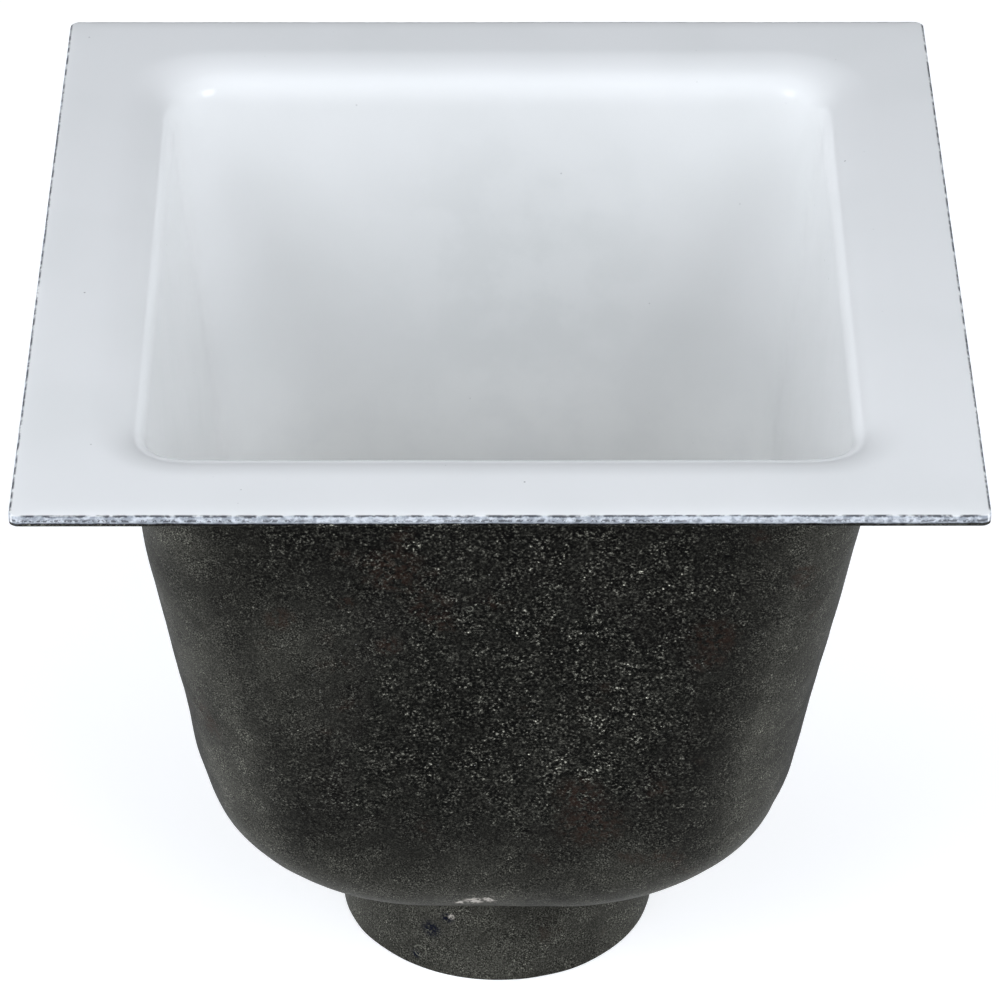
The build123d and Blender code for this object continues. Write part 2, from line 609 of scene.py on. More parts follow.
@dataclass(frozen=True)
class CoatedIronFinish:
    """Sand-cast grey iron under a thin black coat, with rust breathing through.

    A few tips of the grain are many times as bright as its hollows, so the grain and all that
    makes it lighter or darker are added up as the power of the brightness. A pair of values
    holds what goes for coarse and for fine grain, unless it says something else.

    Attributes:
        tint: Hue of the coat.
        level: Power of the brightness where the grain is coarse.
        sheen_lift: What is added to it where the grain is fine: a painted sheen on the corners.
        contrast: How strongly the grain works on it.
        coarse_grain: The coarse grain.
        fine_grain: The fine grain.
        fine_share: How much of the fine grain there is.
        lumps: The lumps that carry the grain.
        clusters: Where the grain is stronger.
        cluster_gain: What it is multiplied by outside and inside the clusters.
        broad: Broad lighter and darker places.
        broad_contrast: How strongly they work on the power.
        glint: Colour of the painted glints, highlights painted on a few grains.
        painted_glints: Those grains.
        glint_cover: How strongly they show.
        hollow: Colour of the pinholes.
        holes: The pinholes.
        hole_cover: How strongly they show.
        rust: Colour of the rust.
        rusted: Marks where rust shows.
        rust_patches: Where it shows besides.
        rust_lumps: Heights of the lumps at which it starts and is full.
        rust_cover: How strongly it shows.
        bright: Colour of iron that is rubbed bare.
        worn: Marks where it is.
        worn_patches: Their ragged outline.
        pitted: Colour of the deepest pits.
        pits: Marks where the iron is pitted.
        pit_patches: Their ragged outline.
        ring: Colour of the raised rings.
        rings: Marks left by bubbles in the mould.
        ring_width: Width of their rings.
        ring_lumps: Heights of the lumps at which a ring starts and is full.
        lump_height: Height of the lumps in the relief.
        grain_height: Height of the grain in it.
        relief_share: How much of both there is.
        relief_depth: Depth of the relief.
        swells: Broader swells under the relief.
        swell_depth: Their depth.
        roughness: Roughness of the coat.
        specular: How much it mirrors.
    """

    tint: Colour = (1.0, 0.98, 0.82)
    level: float = -4.72
    sheen_lift: float = 1.40
    contrast: Span = (11.5, 6.2)
    coarse_grain: Cloud = Cloud(0.85 * MM, detail=1.0, seed=3.0)
    fine_grain: Cloud = Cloud(0.50 * MM, detail=1.0, seed=2.0)
    fine_share: Span = (0.25, 1.0)
    lumps: Cloud = Cloud(1.8 * MM, detail=3.0, seed=1.0)
    clusters: Cloud = Cloud(6.5 * MM, seed=6.0, span=(0.34, 0.66))
    cluster_gain: Span = (0.65, 1.35)
    broad: Cloud = Cloud(30 * MM, detail=3.0)
    broad_contrast: float = 1.3
    glint: Colour = (0.25, 0.25, 0.24)
    painted_glints: Dots = Dots(2.4 * MM, share=0.14, radius=0.13, seed=5.0)
    glint_cover: Span = (0.8, 0.4)
    hollow: Colour = (0.0030, 0.0030, 0.0022)
    holes: Dots = Dots(2.6 * MM, share=0.16, radius=0.20, seed=8.0)
    hole_cover: Span = (0.15, 0.60)
    rust: Colour = (0.024, 0.012, 0.008)
    rusted: tuple[Mark, ...] = (
        Mark((31.0 * MM, -102.1 * MM, 108.9 * MM), 16.0 * MM),
        Mark((27.0 * MM, -104.0 * MM, 122.0 * MM), 12.0 * MM),
        Mark((-49.5 * MM, -116.2 * MM, 211.5 * MM), 4.0 * MM),
        Mark((-71.0 * MM, -115.4 * MM, 204.5 * MM), 7.0 * MM),
        Mark((-36.0 * MM, -113.0 * MM, 192.0 * MM), 6.0 * MM),
        Mark((70.0 * MM, -114.0 * MM, 196.0 * MM), 11.0 * MM),
    )
    rust_patches: Cloud = Cloud(22 * MM, detail=3.0, seed=9.0, span=(0.60, 0.72))
    rust_lumps: Span = (0.40, 0.60)
    rust_cover: float = 0.5
    bright: Colour = (0.40, 0.37, 0.33)
    worn: tuple[Mark, ...] = (
        Mark((-8.5 * MM, -93.0 * MM, 67.8 * MM), 4.5 * MM),
        Mark((-3.0 * MM, -94.2 * MM, 69.6 * MM), 3.5 * MM),
        Mark((-13.0 * MM, -92.0 * MM, 66.3 * MM), 2.6 * MM),
        Mark((-16.5 * MM, -53.3 * MM, 27.4 * MM), 1.6 * MM),
    )
    worn_patches: Cloud = Cloud(1.5 * MM, seed=4.0, span=(0.42, 0.54))
    pitted: Colour = (0.003, 0.004, 0.010)
    pits: tuple[Mark, ...] = (
        Mark((-23.5 * MM, -50.5 * MM, 19.6 * MM), 5.0 * MM),
        Mark((-18.0 * MM, -53.0 * MM, 26.5 * MM), 3.2 * MM),
        Mark((-29.0 * MM, -47.5 * MM, 5.5 * MM), 2.4 * MM),
    )
    pit_patches: Cloud = Cloud(1.1 * MM, seed=12.0, span=(0.40, 0.52))
    ring: Colour = (0.12, 0.12, 0.10)
    rings: tuple[Mark, ...] = (
        Mark((-27.6 * MM, -48.2 * MM, 7.5 * MM), 2.4 * MM),
        Mark((-9.6 * MM, -115.8 * MM, 208.9 * MM), 1.1 * MM),
    )
    ring_width: float = 0.40 * MM
    ring_lumps: Span = (0.40, 0.55)
    lump_height: float = 0.6
    grain_height: float = 1.2
    relief_share: Span = (1.0, 0.15)
    relief_depth: float = 0.25 * MM
    swells: Cloud = Cloud(6 * MM, seed=2.0)
    swell_depth: float = 0.3 * MM
    roughness: Span = (0.55, 0.47)
    specular: float = 0.02

    def build(self) -> bpy.types.Material:
        """Builds the material.

        Returns:
            The material.
        """
        shade = Shade("coated_iron")
        fineness = shade.attribute("fineness")
        coarse = shade.swing(self.coarse_grain) * (1.0 - fineness)
        grain = coarse + shade.swing(self.fine_grain) * fineness.between(*self.fine_share)
        lumps = shade.cloud(self.lumps)
        worn = self._joined(self._spots(shade, self.worn)) * shade.patches(self.worn_patches)
        colour = self._coat(shade, fineness, grain)
        colour = self._marked(shade, colour, fineness, lumps)
        height = lumps * self.lump_height + grain * self.grain_height
        height = height * fineness.between(*self.relief_share)
        normal = shade.relief(shade.cloud(self.swells), self.swell_depth)
        return shade.surface(
            {
                "Base Color": shade.lay(colour, self.bright, worn),
                "Roughness": fineness.between(*self.roughness),
                "Metallic": worn,
                "Normal": shade.relief(height, self.relief_depth, under=normal),
                "Specular IOR Level": self.specular,
            }
        )

    def _coat(self, shade: Shade, fineness: Wire, grain: Wire) -> Wire:
        """Returns the colour of the coat and its grain.

        Args:
            shade: The material being built.
            fineness: Where the grain is fine and a painted sheen lightens the coat.
            grain: The grain, round 0.

        Returns:
            The colour, with the painted sheen.
        """
        gain = shade.patches(self.clusters).between(*self.cluster_gain)
        broad = shade.swing(self.broad) * self.broad_contrast
        # Painted sheen: the coat is lightened where the grain is fine, on the corners and the
        # outlet.
        sheen_lift = fineness * fineness * self.sheen_lift
        power = grain * fineness.between(*self.contrast) * gain + broad + sheen_lift + self.level
        return shade.lay(BLACK, self.tint, power.exponent())

    def _marked(self, shade: Shade, coat: Wire, fineness: Wire, lumps: Wire) -> Wire:
        """Lays rust, bright grains, pinholes, pits and rings over the coat.

        Args:
            shade: The material being built.
            coat: Colour of the coat.
            fineness: Where the grain is fine and a painted sheen lightens the coat.
            lumps: The lumps that carry the grain.

        Returns:
            The colour, with the painted glints.
        """
        rust = shade.patches(self.rust_patches).most(self._joined(self._spots(shade, self.rusted)))
        rust = rust * lumps.rise(*self.rust_lumps) * self.rust_cover
        # Painted glints: bright dots that stand in for highlights on single grains.
        painted_glints = shade.dots(self.painted_glints) * fineness.between(*self.glint_cover)
        holes = shade.dots(self.holes) * fineness.between(*self.hole_cover)
        pits = self._joined(self._spots(shade, self.pits)) * shade.patches(self.pit_patches)
        rings = [shade.near(mark.place).band(mark.radius, self.ring_width) for mark in self.rings]
        raised = self._joined(rings) * lumps.rise(*self.ring_lumps)
        colour = shade.lay(coat, self.rust, rust)
        colour = shade.lay(colour, self.glint, painted_glints)
        colour = shade.lay(colour, self.hollow, holes)
        colour = shade.lay(colour, self.pitted, pits)
        return shade.lay(colour, self.ring, raised)

    @staticmethod
    def _spots(shade: Shade, marks: Sequence[Mark]) -> list[Wire]:
        """Returns each mark as a soft spot, 1 in its middle and 0 at its radius."""
        return [shade.near(m.place).rise(m.radius, m.radius * m.core) for m in marks]

    @staticmethod
    def _joined(masks: Sequence[Wire]) -> Wire:
        """Joins masks.

        Args:
            masks: The masks, from 0 to 1.

        Returns:
            Where any of them shows.
        """
        joined = masks[0]
        for mask in masks[1:]:
            joined = joined.most(mask)
        return joined


@dataclass(frozen=True)
class CastAluminiumFinish:
    """Cast aluminium, tumbled to a satin grey.

    Attributes:
        pale: Colour of the metal.
        dull: Colour of its duller patches.
        patches: Those patches.
        skin: The fine unevenness of its cast skin.
        skin_depth: Depth of that.
        roughness: Roughness for the patches' values 0 and 1.
    """

    pale: Colour = (0.62, 0.63, 0.64)
    dull: Colour = (0.42, 0.43, 0.44)
    patches: Cloud = Cloud(14 * MM, seed=1.0, span=(0.40, 0.68))
    skin: Cloud = Cloud(0.9 * MM, detail=3.0)
    skin_depth: float = 0.07 * MM
    roughness: Span = (0.34, 0.50)

    def build(self) -> bpy.types.Material:
        """Builds the material.

        Returns:
            The material.
        """
        shade = Shade("strainer_aluminium")
        return shade.surface(
            {
                "Base Color": shade.lay(self.pale, self.dull, shade.patches(self.patches)),
                "Metallic": 1.0,
                "Roughness": shade.cloud(self.patches).between(*self.roughness),
                "Normal": shade.relief(shade.cloud(self.skin), self.skin_depth),
            }
        )


@dataclass(frozen=True)
class FloorFinish:
    """The studio's plain pale floor, which glows a little, so that shadows stay faint.

    Attributes:
        white: Its colour.
        glow: Strength of its glow.
        outlet: Distances from the middle at which the glow starts and is full. It doesn't glow
            inside the outlet, because that would shine up through the strainer.
        roughness: Its roughness.
    """

    white: Colour = (0.90, 0.90, 0.90)
    glow: float = 0.50
    outlet: Span = (52 * MM, 54 * MM)
    roughness: float = 0.9

    def build(self) -> bpy.types.Material:
        """Builds the material.

        Returns:
            The material.
        """
        shade = Shade("studio_floor")
        outside = shade.near((0.0, 0.0, 0.0)).rise(*self.outlet)
        return shade.surface(
            {
                "Base Color": (*self.white, 1.0),
                "Roughness": self.roughness,
                "Emission Color": shade.lay(BLACK, self.white, outside),
                "Emission Strength": self.glow,
            }
        )


@dataclass(frozen=True)
class Station:
    """One level outline of a shell: a rounded square, or a circle where the corner is the half.

    Attributes:
        half: Distance from the axis to a side.
        corner: Radius of its corners.
        height: Its height.
        tight: Share of a quarter's points that a tight corner gets at least.
    """

    half: float
    corner: float
    height: float
    tight: float = 0.08

    def points(self, columns: int) -> np.ndarray:
        """Spaces points round the outline.

        Args:
            columns: Number of points, a multiple of four.

        Returns:
            The points, one row each, counted from the middle of the +X side.
        """
        flat = max(self.half - self.corner, TINY)
        arc = math.pi / 2 * self.corner
        share = max(arc / (2 * flat + arc), self.tight)
        edge = (1 - share) / 2
        u = np.arange(columns // 4) / (columns // 4)
        angle = np.clip((u - edge) / share, 0, 1) * math.pi / 2
        along_first = np.clip(u / max(edge, TINY), 0, 1) * flat
        along_second = np.clip((1 - u) / max(edge, TINY), 0, 1) * flat
        on_first, on_second = u < edge, u > 1 - edge
        px = np.where(on_first, self.half, flat + self.corner * np.cos(angle))
        py = np.where(on_first, along_first, flat + self.corner * np.sin(angle))
        px = np.where(on_second, along_second, px)
        py = np.where(on_second, self.half, py)
        quarters = [(px, py), (-py, px), (-px, -py), (py, -px)]
        around_x, around_y = (np.concatenate(axis) for axis in zip(*quarters))
        return np.stack([around_x, around_y, np.full(columns, self.height)], axis=1)


def rings(*spots: tuple[float, float]) -> list[Station]:
    """Returns a round outline for each pair of radius and height."""
    return [Station(radius, radius, height) for radius, height in spots]


def bridge(first: Station, last: Station, count: int) -> list[Station]:
    """Spaces outlines evenly between two.

    Args:
        first: The outline before them.
        last: The outline after them.
        count: Number of outlines.

    Returns:
        The outlines, without the two themselves.
    """
    made = []
    for t in np.arange(1, count + 1) / (count + 1):
        half = first.half + (last.half - first.half) * t
        corner = first.corner + (last.corner - first.corner) * t
        made.append(Station(half, corner, first.height + (last.height - first.height) * t))
    return made


def turned_over(edge: Station, radius: float, degrees: Sequence[float]) -> list[Station]:
    """Turns an upright edge over into a level top.

    Args:
        edge: The outline at which the turn starts.
        radius: Radius of the turn.
        degrees: How far each outline has turned, up to 90.

    Returns:
        The outlines.
    """
    made = []
    for turn in np.radians(degrees):
        inward = radius * (1 - math.cos(turn))
        height = edge.height + radius * math.sin(turn)
        made.append(Station(edge.half - inward, edge.corner - inward, height))
    return made


def crowded(low: float, high: float, count: int) -> np.ndarray:
    """Returns a number of values from low to high, closer together at both ends."""
    return low + (high - low) * (1 - np.cos(np.linspace(0, math.pi, count))) / 2


def ramp(values: np.ndarray, low: float, high: float) -> np.ndarray:
    """Returns a straight ramp over values, 0 at low and 1 at high, which may be under low."""
    return np.clip((values - low) / (high - low), 0, 1)


@dataclass(frozen=True)
class BowlSkin:
    """One surface of the bowl's wall.

    Attributes:
        inset: How far it lies inside the outside of the iron.
        roll: Radius with which it turns out at the top.
        roll_top: Height at which that turn is level.
        corner_roll: Radius of that turn across the corners.
        flare: How much further out the turn's top lies than a plain arc's.
        flare_power: How late in the turn that sets in.
    """

    inset: float
    roll: float
    roll_top: float
    corner_roll: float
    flare: float = 0.0
    flare_power: float = 8.0


@dataclass(frozen=True)
class WallLine:
    """An upright section of the bowl's wall, from its rolled top to the floor.

    Attributes:
        reach: Distance of the outside from the axis at the iron rim.
        lean: Angle by which the wall leans in on its way down.
        foot: Distance at which the outside meets the level floor.
        rim: Height of the iron rim.
        depth: Depth of the bowl's outside under the rim.
    """

    reach: float
    lean: float
    foot: float
    rim: float
    depth: float

    def reach_at(self, height: float, skin: BowlSkin, roll: float) -> float:
        """How far a skin of the wall stands from the axis.

        Args:
            height: The height asked for.
            skin: Which skin of the wall.
            roll: Radius with which the wall turns out at the top.

        Returns:
            The distance.
        """
        run = self.reach - self.depth * math.tan(self.lean) - self.foot
        turn = run * math.cos(self.lean) / (1 - math.sin(self.lean)) - skin.inset
        below = self.rim - height - self.depth + turn + skin.inset
        if below > turn * math.sin(self.lean):
            return self.foot + math.sqrt(max(turn**2 - below**2, 0))
        start = self.reach - skin.inset / math.cos(self.lean)
        centre = skin.roll_top - roll
        if height > centre + roll * math.sin(self.lean):
            straight = start - (self.rim - centre) * math.tan(self.lean)
            rise = max(roll**2 - (height - centre) ** 2, 0)
            flare = skin.flare * max((height - centre) / roll, 0) ** skin.flare_power
            return straight + roll / math.cos(self.lean) - math.sqrt(rise) + flare
        return start - (self.rim - height) * math.tan(self.lean)


@dataclass
class Bowl:
    """The bowl's form and the outlet in its floor, which the casting and the enamel share.

    Attributes:
        rim: Height of the iron flange's top.
        spigot_radius: Outside radius of the outlet.
        bore_radius: Radius of its bore.
        throat_height: Height at which the bore widens into the throat, where the coat ends.
        depth: Depth of the bowl's outside under the rim.
        half_width: Distance of the outside from the axis at the rim.
        side_lean: How much the sides lean in.
        corner_lean: How much the corners lean in.
        corner_radius: Radius of the outside's corners at the rim.
        shoulder: Level ring between the outlet and the foot of the walls.
        side_flat: Half the straight stretch of the floor's outline.
        wall: Thickness of the iron wall.
        lip_radius: Radius with which the inside turns out at the rim.
        corner_lip_radius: Radius of that turn across the corners.
        lip_flare: How much further out its top lies than a plain arc's.
        throat_step: How much wider the throat is than the bore.
        seat_margin: Width of the floor left round the strainer's seat.
        seat_depth: Depth of the seat under the floor.
        seat_edge: Radius of the edge between the seat and the throat.
        side: Section through the middle of a side.
        corner: Section through a corner.
    """

    rim: float
    spigot_radius: float
    bore_radius: float
    throat_height: float
    depth: float = 221.0 * MM
    half_width: float = 124.0 * MM
    side_lean: float = math.radians(7.6)
    corner_lean: float = math.radians(14.3)
    corner_radius: float = 24.3 * MM
    shoulder: float = 5.0 * MM
    side_flat: float = 4.5 * MM
    wall: float = 8.5 * MM
    lip_radius: float = 12.0 * MM
    corner_lip_radius: float = 15.0 * MM
    lip_flare: float = 5.0 * MM
    throat_step: float = 1.4 * MM
    seat_margin: float = 1.0 * MM
    seat_depth: float = 3.0 * MM
    seat_edge: float = 1.0 * MM
    side: WallLine = field(init=False)
    corner: WallLine = field(init=False)

    def __post_init__(self) -> None:
        """Works out the sections through a side and through a corner."""
        foot = self.spigot_radius + self.shoulder
        reach = self.across_corner(self.half_width, self.corner_radius)
        corner_foot = self.across_corner(foot, foot - self.side_flat)
        self.side = WallLine(self.half_width, self.side_lean, foot, self.rim, self.depth)
        self.corner = WallLine(reach, self.corner_lean, corner_foot, self.rim, self.depth)

    @staticmethod
    def across_corner(half: float, corner: float) -> float:
        """Returns the distance from the axis to a rounded square's corner."""
        return DIAGONAL * half - (DIAGONAL - 1) * corner

    def station(self, height: float, skin: BowlSkin) -> Station:
        """Works out an outline of the bowl.

        Args:
            height: Its height.
            skin: Which skin of the wall.

        Returns:
            The outline.
        """
        half = self.side.reach_at(height, skin, skin.roll)
        across = self.corner.reach_at(height, skin, skin.corner_roll)
        corner = (DIAGONAL * half - across) / (DIAGONAL - 1)
        return Station(half, min(corner, half), height)

    def outside(self, low: float, high: float, roll: float, count: int) -> list[Station]:
        """Returns outlines up the outside of the wall.

        Args:
            low: Height of the lowest.
            high: Height of the highest, where the wall runs level into the flange.
            roll: Radius with which it does.
            count: Number of outlines.

        Returns:
            The outlines, lowest first.
        """
        skin = BowlSkin(0.0, roll, high, roll)
        return [self.station(height, skin) for height in crowded(low, high, count)]

    def inside(self, coat: float, count: int) -> list[Station]:
        """Returns outlines down the inside of the wall, from its lip to the floor.

        Args:
            coat: How far the surface lies inside the bare iron.
            count: Number of outlines.

        Returns:
            The outlines, highest first.
        """
        top = self.rim + coat
        skin = BowlSkin(
            self.wall + coat,
            self.lip_radius + coat,
            top,
            self.corner_lip_radius + coat,
            self.lip_flare,
        )
        heights = crowded(self.floor(coat), top, count)[::-1]
        return [self.station(height, skin) for height in heights]

    def floor(self, coat: float) -> float:
        """Returns the height of the floor under a coat."""
        return self.rim - self.depth + self.wall + coat

    def seat(self, coat: float, degrees: Sequence[float]) -> list[Station]:
        """Returns the outlines of the strainer's seat and the throat below it.

        Args:
            coat: How far the surface lies inside the bare iron.
            degrees: How far each outline of the edge between them is from upright.

        Returns:
            The outlines, highest first.
        """
        floor, edge = self.floor(coat), self.seat_edge + coat
        level = floor - self.seat_depth
        radius = self.spigot_radius + self.shoulder - self.seat_margin - coat
        throat = self.bore_radius + self.throat_step - coat
        turned = [
            (throat + edge * (1 - math.cos(turn)), level - edge * (1 - math.sin(turn)))
            for turn in np.radians(degrees)
        ]
        return rings((radius, floor), (radius, level), *turned, (throat, self.throat_height))


class PointValue(Enum):
    """What a mesh holds for each of its points."""

    PLACE = "co"
    NORMAL = "normal"


def values_of(piece: bpy.types.Object, value: PointValue) -> np.ndarray:
    """Reads what a mesh holds for its points.

    Args:
        piece: The mesh object.
        value: What is read.

    Returns:
        The values, one row for each point.
    """
    flat = np.empty(len(piece.data.vertices) * 3)
    piece.data.vertices.foreach_get(value.value, flat)
    return flat.reshape(-1, 3)


def set_points(
    piece: bpy.types.Object, points: np.ndarray, box: Sequence[Vector], crease: float
) -> None:
    """Moves the points of a mesh.

    Args:
        piece: The mesh object.
        points: Where they go, one row each.
        box: The lowest and the highest corner of the box that they stay in.
        crease: Angle beyond which an edge stays sharp.
    """
    kept = np.clip(points, np.array(box[0]), np.array(box[1]))
    piece.data.vertices.foreach_set("co", kept.ravel())
    piece.data.update()
    piece.data.set_sharp_from_angle(angle=crease)


def set_attribute(piece: bpy.types.Object, name: str, values: np.ndarray) -> None:
    """Keeps a value for each point of a mesh, for its material to read."""
    layer = piece.data.attributes.new(name, "FLOAT", "POINT")
    layer.data.foreach_set("value", values.astype(np.float32))


@dataclass
class Shell:
    """A closed skin that runs round the sink as a loop of outlines.

    Attributes:
        name: Name of the piece.
        stations: The outlines, in the order in which the skin meets them.
        columns: Points on each outline.
    """

    name: str
    stations: list[Station]
    columns: int = 480

    def build(self) -> bpy.types.Object:
        """Meshes the skin, with its bake layout, and links it to the scene.

        Returns:
            The object, at the origin.
        """
        rows = len(self.stations)
        points = np.concatenate([s.points(self.columns) for s in self.stations])
        row, column = np.meshgrid(np.arange(rows), np.arange(self.columns), indexing="ij")
        here, above = row * self.columns, (row + 1) % rows * self.columns
        beside = (column + 1) % self.columns
        faces = np.stack([here + column, here + beside, above + beside, above + column], axis=-1)
        mesh = bpy.data.meshes.new(self.name)
        mesh.from_pydata(points.tolist(), [], faces.reshape(-1, 4).tolist())
        layout = mesh.uv_layers.new(name="OFBake")
        across = np.stack([column, column + 1, column + 1, column], axis=-1) / self.columns
        along = np.stack([row, row, row + 1, row + 1], axis=-1) / rows
        layout.data.foreach_set("uv", np.stack([across, along], axis=-1).ravel())
        mesh.shade_smooth()
        piece = bpy.data.objects.new(self.name, mesh)
        bpy.context.scene.collection.objects.link(piece)
        return piece

    def run(self, first: int, last: int) -> np.ndarray:
        """Picks out the points of a run of outlines.

        Args:
            first: Place of the first outline in the loop.
            last: Place after the last one.

        Returns:
            One row for each point, 1 in the run and 0 elsewhere.
        """
        mask = np.zeros((len(self.stations), self.columns))
        mask[first:last] = 1.0
        return mask.reshape(-1, 1)


@dataclass(frozen=True)
class Ripple:
    """A layer of smooth unevenness.

    Attributes:
        size: Width of its features.
        seed: Moves the pattern.
        height: How strong it is.
        stride: How far one step of the seed moves the pattern along X, Y and Z.
    """

    size: float
    seed: float
    height: float
    stride: Point = (1.0, 1.7, 2.3)

    def at(self, points: np.ndarray) -> np.ndarray:
        """Evaluates the layer at many points.

        Args:
            points: The points, one row each.

        Returns:
            One value for each point, from about minus its height to its height.
        """
        shift = Vector(self.stride) * self.seed
        return self.height * np.array([noise.noise(Vector(p) / self.size + shift) for p in points])


@dataclass(frozen=True)
class Swell:
    """A soft spot on the casting.

    Attributes:
        place: Its middle.
        reach: How far it reaches along X, Y and Z.
        height: How strong it is in its middle. It sinks in where that is negative.
        steepness: How fast it falls off within its reach.
    """

    place: Point
    reach: Point
    height: float
    steepness: float = 2.0

    def at(self, points: np.ndarray) -> np.ndarray:
        """Returns its strength at each point, which is close to 0 beyond its reach."""
        off = (points - np.array(self.place)) / np.array(self.reach)
        return self.height * np.exp(-self.steepness * (off**2).sum(axis=1))


def total(layers: Sequence[Union[Ripple, Swell]], points: np.ndarray) -> np.ndarray:
    """Returns what a number of layers add up to at each point."""
    return np.sum([layer.at(points) for layer in layers], axis=0)


@dataclass
class Casting:
    """The sink's iron body: flange, bowl and outlet.

    Attributes:
        bowl: The bowl's form.
        flange_half: Half the width of the iron flange under the coat.
        coat_half: Half its width with the coat.
        flange_under: Height of the flange's underside.
        body: The CAD body that it belongs to.
        node: The CAD node that it replaces.
        flange_corner: Radius of the flange's corners.
        flange_edge: Radius with which its edge turns over.
        edge_turns: How far the outlines of that turn have turned, in degrees.
        bare_inset: How far inside the coat's face the bare iron at the edge's foot lies.
        bare_band: Height of that bare band.
        bevel: How far it leans in at its top.
        bevel_rise: Height of that bevel, and of the step behind it.
        under_bevel: How far the underside's outline lies inside the band.
        root_radius: Radius between the bowl and the flange.
        spigot_root: Radius between the outlet and the floor.
        end_chamfer: Chamfer at the outlet's end.
        seat_turns: How far the outlines of the seat's edge are from upright, in degrees.
        crease: Angle beyond which an edge stays sharp.
        outlet_rows: Number of outlines up the outlet.
        wall_rows: Number of outlines up the bowl.
        under_rows: Number of outlines across the flange's underside.
        top_rows: Number of outlines across its top, under the coat.
        inner_rows: Number of outlines down the inside of the bowl, under the coat.
        bore_rows: Number of outlines down the bore.
        uneven: Unevenness from the sand mould, with its larger swells and dents.
        uneven_fade: Depth under the flange over which the unevenness sets in.
        fine_corners: Shares of X and Y at which the finer grain and painted sheen of the corners
            start and are full.
        corner_fineness: How fine it is above and below the fade.
        corner_fade: Heights between which that fade lies.
        fine_low: Heights at which the finer grain and painted sheen low down start and are full.
        fine_front: A place on the front with finer grain and a painted sheen.
        patchy: How the fineness and the painted sheen vary besides.
    """

    bowl: Bowl
    flange_half: float
    coat_half: float
    flange_under: float
    body: str = "sink"
    node: str = "sink_casting"
    flange_corner: float = 2.4 * MM
    flange_edge: float = 1.2 * MM
    edge_turns: Sequence[float] = (30, 60, 90)
    bare_inset: float = 0.15 * MM
    bare_band: float = 1.0 * MM
    bevel: float = 0.3 * MM
    bevel_rise: float = 0.4 * MM
    under_bevel: float = 0.4 * MM
    root_radius: float = 6.0 * MM
    spigot_root: float = 3.6 * MM
    end_chamfer: float = 0.5 * MM
    seat_turns: Sequence[float] = (90, 0)
    crease: float = math.radians(38)
    outlet_rows: int = 30
    wall_rows: int = 106
    under_rows: int = 9
    top_rows: int = 3
    inner_rows: int = 24
    bore_rows: int = 4
    uneven: Sequence[Union[Ripple, Swell]] = (
        Ripple(48 * MM, 3.0, 0.45 * MM),
        Ripple(11 * MM, 7.0, 0.16 * MM),
        Swell((-102 * MM, -66 * MM, 114 * MM), (16 * MM, 36 * MM, 24 * MM), 1.2 * MM),
        Swell((-117 * MM, -96 * MM, 232 * MM), (24 * MM, 30 * MM, 24 * MM), -1.8 * MM),
        Swell((94 * MM, -65 * MM, 86 * MM), (16 * MM, 28 * MM, 13 * MM), -1.1 * MM),
    )
    uneven_fade: Span = (0.5 * MM, 6.5 * MM)
    fine_corners: Span = (0.46, 0.84)
    corner_fineness: Span = (0.92, 1.0)
    corner_fade: Span = (170 * MM, 110 * MM)
    fine_low: Span = (135 * MM, 73 * MM)
    fine_front: Swell = Swell((-74 * MM, -110 * MM, 180 * MM), (52 * MM, 40 * MM, 84 * MM), 0.80)
    patchy: Sequence[Ripple] = (Ripple(34 * MM, 11.0, 0.20), Ripple(9 * MM, 15.0, 0.12))

    @property
    def bare_half(self) -> float:
        """Returns half the flange's width below the coat's border, where the iron is bare."""
        return self.coat_half - self.bare_inset

    def outside(self) -> list[Station]:
        """Lays the outlines that show: outlet, bowl, underside and foot of the edge.

        Returns:
            The outlines, lowest first.
        """
        bottom = self.bowl.rim - self.bowl.depth
        made = []
        for height in crowded(self.end_chamfer, bottom, self.outlet_rows):
            over = max(height - bottom + self.spigot_root, 0)
            root = self.spigot_root - math.sqrt(max(self.spigot_root**2 - over**2, 0))
            made += rings((self.bowl.spigot_radius + root, height))
        made += self.bowl.outside(bottom, self.flange_under, self.root_radius, self.wall_rows)
        under = Station(self.bare_half - self.under_bevel, self.flange_corner, self.flange_under)
        return made + bridge(made[-1], under, self.under_rows) + [under]

    def edge(self) -> list[Station]:
        """Lays outlines up the flange's edge: the bare band, its bevel and the rest.

        Returns:
            The outlines, lowest first.
        """
        band = self.flange_under + self.bare_band
        spots = (
            (self.bare_half, band - self.bare_band / 2),
            (self.bare_half, band),
            (self.bare_half - self.bevel, band + self.bevel_rise),
            (self.flange_half, band + 2 * self.bevel_rise),
            (self.flange_half, self.bowl.rim - self.flange_edge),
        )
        return [Station(half, self.flange_corner, height) for half, height in spots]

    def hidden(self) -> list[Station]:
        """Lays the outlines that the enamel covers, and those of the bore.

        Returns:
            The outlines, from the flange's edge to the outlet's end.
        """
        bowl, edge = self.bowl, self.edge()
        edge += turned_over(edge[-1], self.flange_edge, self.edge_turns)
        inner = bowl.inside(0.0, self.inner_rows)
        top = bridge(edge[-1], inner[0], self.top_rows)
        start, end = rings((bowl.bore_radius, bowl.throat_height), (bowl.bore_radius, 0.0))
        chamfers = rings(
            (bowl.bore_radius, self.end_chamfer),
            (bowl.bore_radius + self.end_chamfer, 0.0),
            (bowl.spigot_radius - self.end_chamfer, 0.0),
        )
        bore = [start] + bridge(start, end, self.bore_rows) + chamfers
        return edge + top + inner + bowl.seat(0.0, self.seat_turns) + bore

